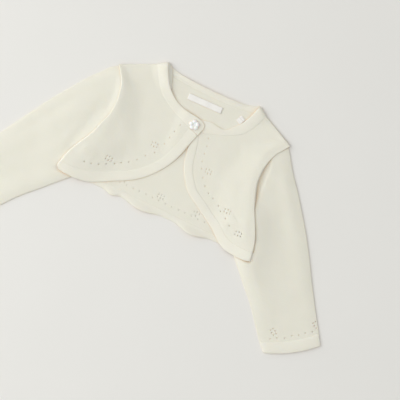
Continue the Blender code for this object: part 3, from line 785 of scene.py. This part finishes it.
def neck_turn(material):
    """The inner side of the right neckband, which hollows down from its standing free edge to the back neck."""
    edge, foot = stations([row[:2] for row in NECK_TURN]), stations([row[2:] for row in NECK_TURN])
    columns, rows = TURN_FACES

    def point(i, j):
        u, v = i / columns, j / rows
        start, end = edge(v), foot(v)
        p = start.lerp(end, u)
        high = front_top("right", start.x, start.y) + (FREE_EDGE_LEVEL * BAND_CLOTH - CLOTH)
        low = back_under(-end.x, end.y) + CLOTH + 2 * TOUCH + TURN_FOOT * (1 - ramp(v / TURN_FOOT_END))
        z = low + max(high - low, 0) * (1 - u) ** TURN_HOLLOW
        return -p.x, p.y, z, u * TURN_KNIT[0], v * TURN_KNIT[1]

    thing = knitted("neckband_turn_right_knit", columns, rows, point, material, LINING)
    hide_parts("neckband_right")


def back(material):
    """The back panel, whose sides lie on the sleeves."""
    neck_seam = graph([(x, y + TUCK) for x, y in BACK_NECK_SEAM])
    top_y, top_half = BACK_SIDE[0]
    end_y = BACK_SEAM_Y - TUCK

    def top(u):
        x = (2 * u - 1) * top_half
        return Vector((x, neck_seam(abs(x)) if abs(x) < NECK_HALF else shoulder_y(abs(x))))

    def bottom(u):
        return Vector(((2 * u - 1) * back_half(end_y), end_y))

    def edge(v):
        y = top_y + v * (end_y - top_y)
        return Vector((back_half(y), y))

    def other_edge(v):
        return Vector((-edge(v).x, edge(v).y))

    plan = patch(top, bottom, other_edge, edge)
    columns, rows = BACK_FACES

    def point(i, j):
        p = plan(i / columns, j / rows)
        return p.x, p.y, back_under(p.x, p.y), p.x, p.y

    count = int(back_half(BACK_ROW_Y) / BACK_ROW_STEP)
    holes = round_holes((k * BACK_ROW_STEP, BACK_ROW_Y) for k in range(-count + 1, count))
    for middle in BACK_FLOWERS:
        holes += flower(middle)
    thing = knitted("back_knit", columns, rows, point, material, CLOTH, holes, upwards=True)
    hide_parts("back")


def hem_wave(x):
    """The ruffle's rise and reach at x along the back hem, as shares of each wave."""
    rise = reach = 0
    for middle, half, up, out in HEM_WAVES:
        share = 0.5 + 0.5 * math.cos(math.pi * min(abs(x - middle) / half, 1))
        rise += up * share
        reach += out * share
    return rise, reach


def hem_band(material):
    """The band under the back panel, whose free edge waves."""

    def point(across, up, around, j):
        side = 2 * j / HEM_FACES - 1
        down = 1 - across
        rise, reach = hem_wave(side * back_half(BACK_SEAM_Y))
        y = BACK_SEAM_Y + down * (HEM_FREE_Y - reach - BACK_SEAM_Y)
        x = side * (back_half(BACK_SEAM_Y) + down * HEM_FLARE)
        z = back_under(x, y) + rise * ramp(down, *HEM_RISE) + up * HEM_CLOTH
        return x, y, z, around * HEM_KNIT[0], side * HEM_KNIT[1]

    thing = closed_strip("hem_band_back_knit", HEM_FACES, point, material)
    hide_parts("hem_band_back")


def neckband_back(material):
    """The band of the back neck, seen on its inner side, with its free edge curled up a little."""
    seam, free = graph(BACK_NECK_SEAM), stations(BACK_NECK_FREE)
    depth, middle, half = GROOVE

    def point(across, up, around, j):
        side = 2 * j / BACK_NECK_FACES - 1
        down = 1 - across
        x = abs(side) * (NECK_HALF - BACK_NECK_END)
        p = Vector((x, seam(x))).lerp(free(1 - abs(side)), down)
        curl = BACK_NECK_CURL * down**2 * ramp(-p.x, *CURL_IN)
        groove = depth * math.exp(-(((down - middle) / half) ** 2)) if up > 0.5 else 0
        z = curl + (up - groove) * HEM_CLOTH
        return math.copysign(p.x, side), p.y, z, around * BACK_NECK_KNIT[0], side * BACK_NECK_KNIT[1]

    thing = closed_strip("neckband_back_knit", BACK_NECK_FACES, point, material)
    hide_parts("neckband_back")


def ring(k, near, far, height):
    """The k-th point round a flattened tube: its share across, and its height. Its two folds are half circles,
    which take the shares near and far of the width."""
    radius = SLEEVE_FLAT / 2
    turn = 180 / TUBE_CURVED
    below = TUBE_CURVED + TUBE_FLAT
    if k <= TUBE_CURVED:
        angle = math.radians(90 - turn * k)
        share = near * (1 - math.cos(angle))
    elif k <= below:
        angle = math.radians(-90)
        share = near + (1 - near - far) * (k - TUBE_CURVED) / TUBE_FLAT
    elif k <= below + TUBE_CURVED:
        angle = math.radians(-90 + turn * (k - below))
        share = 1 - far * (1 - math.cos(angle))
    else:
        angle = math.radians(90)
        share = 1 - far - (1 - near - far) * (k - below - TUBE_CURVED) / TUBE_FLAT
    above = height(share) - radius if angle > 0 else radius
    return share, radius + above * math.sin(angle)


def fold_share(plan, u, v):
    """The share of the width that a fold's half circle takes at u = 0 or 1, where the section may be slanted."""
    step, least = 0.02, 0.3
    section = plan(abs(u - step), v) - plan(u, v)
    length = plan(u, min(v + step, 1)) - plan(u, max(v - step, 0))
    slant = abs(section.normalized().cross(length.normalized()))
    return SLEEVE_FLAT / 2 / (plan(1, v) - plan(0, v)).length / max(slant, least)


def tube(name, side, plan, height, lengthways, length, material, holes=(), tucked=False):
    """A flattened tube of cloth over a plan, open at both ends. A tucked end narrows into the next piece."""
    around = 2 * (TUBE_CURVED + TUBE_FLAT)
    shares = {}

    def point(i, j):
        v = j / lengthways
        if j not in shares:
            shares[j] = fold_share(plan, 0, v), fold_share(plan, 1, v), (plan(1, v) - plan(0, v)).length
        near, far, width = shares[j]

        def top(u):
            p = plan(u, v)
            return height(p.x, p.y, v, min(u, 1 - u) * width)

        u, z = ring(i % around, near, far, top)
        if tucked and j == lengthways:
            u, z = 0.5 + (u - 0.5) * TUCKED_WIDTH, TUCKED_RISE + z * TUCKED_HEIGHT
        p = plan(u, v)
        return SIDES[side] * p.x, p.y, z, i / around * TUBE_KNIT, v * length

    return knitted(name, around, lengthways, point, material, CLOTH, holes)


def sleeve(side, material):
    """A sleeve from the armhole to the cuff's seam."""
    armhole = by_length([(x, y) for y, x in SLEEVE_INNER if y >= UNDERARM_Y])
    way = (Vector(CUFF_END[0]) - Vector(CUFF_SEAM[0])).normalized() * TUCK
    inner = [(x, y) for y, x in SLEEVE_INNER if y <= UNDERARM_Y]
    inside = by_length([*inner, *SLEEVE_INNER_FREE, Vector(CUFF_SEAM[1]) + way])
    outside = by_length([*SLEEVE_OUTER[side], Vector(CUFF_SEAM[0]) + way])
    seam = bowed([Vector(p) + way for p in CUFF_SEAM], CUFF_BULGE)
    plan = patch(armhole, seam, outside, inside)

    def height(x, y, v, aside):
        return sleeve_top(side, x, y, v, aside)

    out = SIDES[side]
    holes = round_holes((out * x, y) for x, y in CUFF_EYELETS)
    for x, y in CUFF_FLOWERS:
        holes += flower((out * x, y), out * CUFF_FLOWER_TURN)
    name = f"sleeve_{side}_knit"
    thing = tube(name, side, plan, height, SLEEVE_FACES, SLEEVE_KNIT, material, holes, tucked=True)
    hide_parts(f"sleeve_{side}")


def cuff(side, material):
    """A plain double band at the sleeve's end."""
    start = bowed(CUFF_SEAM, CUFF_BULGE)
    end = bowed(CUFF_END, CUFF_BULGE)
    plan = patch(start, end, lambda v: start(0).lerp(end(0), v), lambda v: start(1).lerp(end(1), v))

    def height(x, y, v, aside):
        edge = math.sqrt(1 - (1 - min(aside / EDGE_PUFF, 1)) ** 2)
        return SLEEVE_FLAT + (CUFF_BAND + CUFF_SWELL * math.sin(math.pi * v) ** 0.5) * edge

    thing = tube(f"cuff_{side}_knit", side, plan, height, CUFF_FACES, CUFF_KNIT, material)
    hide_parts(f"cuff_{side}")


def button(material):
    """A flower of round petals, dished about a small sewn centre, on the tip of the right front."""
    x0, y0 = BUTTON_AT
    reach = (-BUTTON_RADIUS, 0, BUTTON_RADIUS)
    seat = max(front_top("right", x0 + dx, y0 + dy) for dx in reach for dy in reach)
    seat += BAND_CLOTH - CLOTH + TOUCH + BUTTON_LIFT
    hole_at, hole_radius, hole_depth = THREAD_HOLE

    def point(i, j):
        angle = 2 * math.pi * (i % BUTTON_FACES) / BUTTON_FACES
        petal = abs(math.cos(BUTTON_PETALS * angle / 2))
        outline = BUTTON_RADIUS * (BUTTON_WAIST + (1 - BUTTON_WAIST) * petal**0.7)
        on_rim = (j - BUTTON_BACK) / BUTTON_RIM
        if on_rim <= 0:
            radius, z = outline * BUTTON_FLAT * j / BUTTON_BACK, 0
        elif on_rim <= 1:
            turn = math.pi * (on_rim - 0.5)
            radius = outline * (BUTTON_FLAT + (1 - BUTTON_FLAT) * math.cos(turn))
            z = BUTTON_RIM_SHARE * BUTTON_THICK * (1 + math.sin(turn)) / 2
        else:
            inward = 1 - (j - BUTTON_BACK - BUTTON_RIM) / BUTTON_FACE
            radius = outline * BUTTON_FLAT * inward
            dome = math.sin(math.pi * min(max((inward - 0.3) / 0.72, 0), 1)) ** 0.8
            z = BUTTON_THICK * (BUTTON_RIM_SHARE + 0.42 * dome * (0.35 + 0.65 * petal))
            for way in (-hole_at, hole_at):
                off = math.hypot(radius * math.cos(angle) - way, radius * math.sin(angle))
                z -= hole_depth * math.exp(-((off / hole_radius) ** 4))
        return -x0 - radius * math.cos(angle), y0 + radius * math.sin(angle), seat + z

    bm = laid(BUTTON_FACES, BUTTON_BACK + BUTTON_RIM + BUTTON_FACE, point, knit=False)
    bmesh.ops.recalc_face_normals(bm, faces=bm.faces)
    thing = finished("flower_button", bm, material)
    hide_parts("button")


def strip(name, node, size, at, turn, lift, material):
    """A small bare woven strip that lies on the back panel, its ends sewn down."""
    columns, rows = STRIP_FACES

    def point(i, j):
        u, v = i / columns - 0.5, j / rows - 0.5
        x, y = turned(u * size[0], v * size[1], turn)
        held = 1 - (2 * u) ** 2
        z = CLOTH + TOUCH + lift * held * (0.5 + 0.5 * math.cos(LABEL_WAVES * math.pi * u))
        return at[0] + x, at[1] + y, z, u * size[0], v * size[1]

    thing = knitted(name, columns, rows, point, material, LINING, upwards=True, smooth=0)
    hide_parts(node)
    return thing


def srgb(code):
    """A colour from its sRGB hex code."""
    parts = [int(code[k : k + 2], 16) / 255 for k in (1, 3, 5)]
    return (*[c / 12.92 if c <= 0.04045 else ((c + 0.055) / 1.055) ** 2.4 for c in parts], 1)


def add(tree, kind, inputs, **settings):
    """A shader node with its settings, and its inputs set, or linked to a socket or to a node's first output."""
    made = tree.nodes.new("ShaderNode" + kind)
    for key, value in settings.items():
        setattr(made, key, value)
    for key, value in inputs.items():
        if isinstance(value, bpy.types.Node):
            value = value.outputs[0]
        if isinstance(value, bpy.types.NodeSocket):
            tree.links.new(value, made.inputs[key])
        else:
            made.inputs[key].default_value = value
    return made


def new_material(name):
    """A material with an empty tree but for its coordinates."""
    made = bpy.data.materials.new(name)
    made.use_nodes = True
    made.node_tree.nodes.clear()
    return made, made.node_tree, add(made.node_tree, "TexCoord", {})


def cotton_knit(name, yarn, painted_groove_shade_and_tone, painted_crease_glow, stitch, strength):
    """Fine stocking-stitch cotton: rows of small Vs in ring-spun yarn, matt with a soft bloom of loose fibre. Its
    colour is painted darker in the grooves between the loops, a painted shade, and painted warm in deep folds, a
    painted glow for the light that comes through the loops."""
    made, tree, coordinates = new_material(name)
    cell = (1 / (stitch[0] * MM), 1 / (stitch[1] * MM), 1)
    place = add(tree, "VectorMath", {0: coordinates.outputs["UV"], 1: cell}, operation="MULTIPLY")
    place = add(tree, "SeparateXYZ", {0: place})
    # Each leg of a V slants up to the next row, and is highest along its middle
    leg = add(tree, "Math", {0: place.outputs[0], 1: 0.5}, operation="PINGPONG")
    turn = add(tree, "Math", {0: leg, 1: 2 * math.pi}, operation="MULTIPLY")
    ridge = add(tree, "Math", {0: turn}, operation="SINE")
    slanted = add(tree, "Math", {0: leg, 1: 1.4, 2: place.outputs[1]}, operation="MULTIPLY_ADD")
    turn = add(tree, "Math", {0: slanted, 1: 2 * math.pi}, operation="MULTIPLY")
    loop = add(tree, "Math", {0: turn}, operation="SINE")
    loop = add(tree, "Math", {0: loop, 1: 0.25, 2: 0.75}, operation="MULTIPLY_ADD")
    loop = add(tree, "Math", {0: loop, 1: ridge}, operation="MULTIPLY")
    place = coordinates.outputs["Object"]
    fibre = add(tree, "TexNoise", {"Vector": place, "Scale": 1 / (FIBRE * MM), "Detail": 3.0})
    cloud = add(tree, "TexNoise", {"Vector": place, "Scale": 1 / (CLOUD * MM), "Detail": 2.0})
    relief = add(tree, "Math", {0: fibre, 1: 0.25, 2: loop}, operation="MULTIPLY_ADD")
    bump = add(tree, "Bump", {"Strength": strength, "Distance": 0.3 * MM, "Height": relief})
    # The yarn's tone is painted darker in the grooves between its loops, a painted shade, and also varies at random
    # with its own cloudiness. Where ambient occlusion finds a deep fold, the colour is painted warm towards the
    # crease glow colour, a painted glow and shade.
    tone = add(tree, "Math", {0: loop, 1: 0.65}, operation="MULTIPLY")
    tone = add(tree, "Math", {0: cloud, 1: 0.35, 2: tone}, operation="MULTIPLY_ADD")
    colour = add(tree, "Mix", {"Factor": tone, 6: srgb(painted_groove_shade_and_tone), 7: srgb(yarn)}, data_type="RGBA")
    # Painted shade and glow: the less open a place is, the more its colour is painted warm
    sky = add(tree, "AmbientOcclusion", {"Distance": PAINTED_SHADE_REACH * MM}, samples=6)
    sky = add(tree, "Math", {0: sky.outputs[1], 1: PAINTED_SHADE_OPENNESS}, operation="MULTIPLY")
    painted_crease_tint = {"Factor": sky, 6: srgb(painted_crease_glow), 7: colour.outputs[2]}
    painted_crease_tint = add(tree, "Mix", painted_crease_tint, data_type="RGBA")
    look = {
        "Base Color": painted_crease_tint.outputs[2],
        "Roughness": 0.88,
        "IOR": 1.45,
        "Specular IOR Level": 0.25,
        "Sheen Weight": 0.35,
        "Sheen Roughness": 0.5,
        "Subsurface Weight": 0.12,
        "Subsurface Radius": (1.0, 0.75, 0.45),
        "Subsurface Scale": 1.2 * MM,
        "Normal": bump,
    }
    add(tree, "OutputMaterial", {0: add(tree, "BsdfPrincipled", look)})
    return made


def moulded_plastic():
    """Injection-moulded button plastic: opaque, a clean white, with a bright gloss and the faintest flow marks."""
    made, tree, coordinates = new_material("moulded_white_plastic")
    place = coordinates.outputs["Object"]
    flow = add(tree, "TexNoise", {"Vector": place, "Scale": 1 / (FLOW * MM), "Detail": 2.0})
    bump = add(tree, "Bump", {"Strength": 0.05, "Distance": 0.1 * MM, "Height": flow})
    tones = {"Factor": flow, 6: srgb("#ecece9"), 7: srgb("#f3f3f0")}
    colour = add(tree, "Mix", tones, data_type="RGBA")
    look = {
        "Base Color": colour.outputs[2],
        "Roughness": 0.22,
        "IOR": 1.5,
        "Coat Weight": 0.3,
        "Coat Roughness": 0.1,
        "Subsurface Weight": 0.2,
        "Subsurface Scale": 1.0 * MM,
        "Normal": bump,
    }
    add(tree, "OutputMaterial", {0: add(tree, "BsdfPrincipled", look)})
    return made


def woven_satin():
    """Narrow satin ribbon, woven of bright polyester: close warp floats along it, with a soft shine."""
    made, tree, coordinates = new_material("woven_white_satin")
    turns = (2 * math.pi / (SATIN_WEFT * MM), 2 * math.pi / (SATIN_WARP * MM), 1)
    place = add(tree, "VectorMath", {0: coordinates.outputs["UV"], 1: turns}, operation="MULTIPLY")
    place = add(tree, "SeparateXYZ", {0: place})
    weft = add(tree, "Math", {0: place.outputs[0]}, operation="SINE")
    warp = add(tree, "Math", {0: place.outputs[1]}, operation="SINE")
    cloth = add(tree, "Math", {0: weft, 1: 0.3, 2: warp}, operation="MULTIPLY_ADD")
    bump = add(tree, "Bump", {"Strength": 0.15, "Distance": 0.1 * MM, "Height": cloth})
    tone = add(tree, "Math", {0: cloth, 1: 0.3, 2: 0.5}, operation="MULTIPLY_ADD")
    colour = {"Factor": tone, 6: srgb("#e8e6df"), 7: srgb("#f1efe9")}
    colour = add(tree, "Mix", colour, data_type="RGBA").outputs[2]
    look = {"Base Color": colour, "Roughness": 0.45, "Sheen Weight": 0.2, "Normal": bump}
    add(tree, "OutputMaterial", {0: add(tree, "BsdfPrincipled", look)})
    return made


def painted_board():
    """Matt emulsion on a smooth board: a warm pale grey with a barely mottled tone."""
    made, tree, coordinates = new_material("matt_painted_board")
    place = coordinates.outputs["Object"]
    mottle = add(tree, "TexNoise", {"Vector": place, "Scale": 1 / (MOTTLE * MM), "Detail": 3.0})
    colour = {"Factor": mottle, 6: srgb("#e3e2dd"), 7: srgb("#e6e5e0")}
    colour = add(tree, "Mix", colour, data_type="RGBA").outputs[2]
    look = {"Base Color": colour, "Roughness": 0.9, "Specular IOR Level": 0.15}
    add(tree, "OutputMaterial", {0: add(tree, "BsdfPrincipled", look)})
    return made


def table_top():
    """The plain board that the cardigan lies on, a hair below it."""
    bm = bmesh.new()
    bmesh.ops.create_grid(bm, x_segments=8, y_segments=8, size=3)
    mesh = bpy.data.meshes.new("table_top")
    bm.to_mesh(mesh)
    bm.free()
    mesh.materials.append(painted_board())
    thing = bpy.data.objects.new("table_top", mesh)
    thing.location.z = -0.2 * MM
    bpy.context.scene.collection.objects.link(thing)


def light(name, kind, right, up, elevation, strength, distance, settings):
    """A soft light that looks at the cardigan from a way in the picture and an elevation."""
    lamp = bpy.data.lights.new(name, kind)
    lamp.energy = strength
    for key, value in settings.items():
        setattr(lamp, key, value)
    thing = bpy.data.objects.new(name, lamp)
    way = Vector((*turned(right, up, VIEW_TURN), 0)).normalized()
    way = way * math.cos(math.radians(elevation)) + Vector((0, 0, math.sin(math.radians(elevation))))
    thing.location = Vector((VIEW_X, 0, 0)) + way * distance
    thing.rotation_euler = way.to_track_quat("Z", "Y").to_euler()
    bpy.context.scene.collection.objects.link(thing)


def studio():
    """The lights, with a pale room all round, and the camera above."""
    scene = bpy.context.scene
    for name, row in LIGHTS.items():
        light(name, *row)
    world = bpy.data.worlds.new("pale_room")
    world.use_nodes = True
    world.node_tree.nodes["Background"].inputs[0].default_value = (1.0, 1.0, 1.0, 1)
    world.node_tree.nodes["Background"].inputs[1].default_value = ROOM_STRENGTH
    scene.world = world
    scene.view_settings.view_transform = "Standard"
    camera = bpy.data.cameras.new("camera_above")
    camera.sensor_width = SENSOR
    camera.lens = SENSOR * VIEW_HEIGHT / VIEW_WIDTH
    thing = bpy.data.objects.new("camera_above", camera)
    thing.location = (VIEW_X, 0, VIEW_HEIGHT)
    thing.rotation_euler = (0, 0, VIEW_TURN)
    scene.collection.objects.link(thing)
    scene.camera = thing


def main():
    # Each knit's second colour is its painted groove shade and the dark end of its random cloudy tone, and its third
    # is the painted warm glow of deep creases
    jersey = cotton_knit("cotton_jersey", "#eceadd", "#e2dfcf", "#ffd6a4", JERSEY_STITCH, 0.35)
    double_knit = cotton_knit("cotton_double_knit", "#eeecdf", "#e6e3d4", "#ffd8aa", BAND_STITCH, 0.3)
    back(jersey)
    hem_band(double_knit)
    neckband_back(double_knit)
    for side in SIDES:
        sleeve(side, jersey)
        cuff(side, double_knit)
        front(side, jersey)
        front_bands(side, double_knit)
    neck_turn(double_knit)
    button(moulded_plastic())
    satin = woven_satin()
    label = strip("neck_label_woven", "neck_label", *LABEL, satin)
    tab = strip("side_tab_woven", "side_tab", *TAB, satin)
    table_top()
    studio()


main()
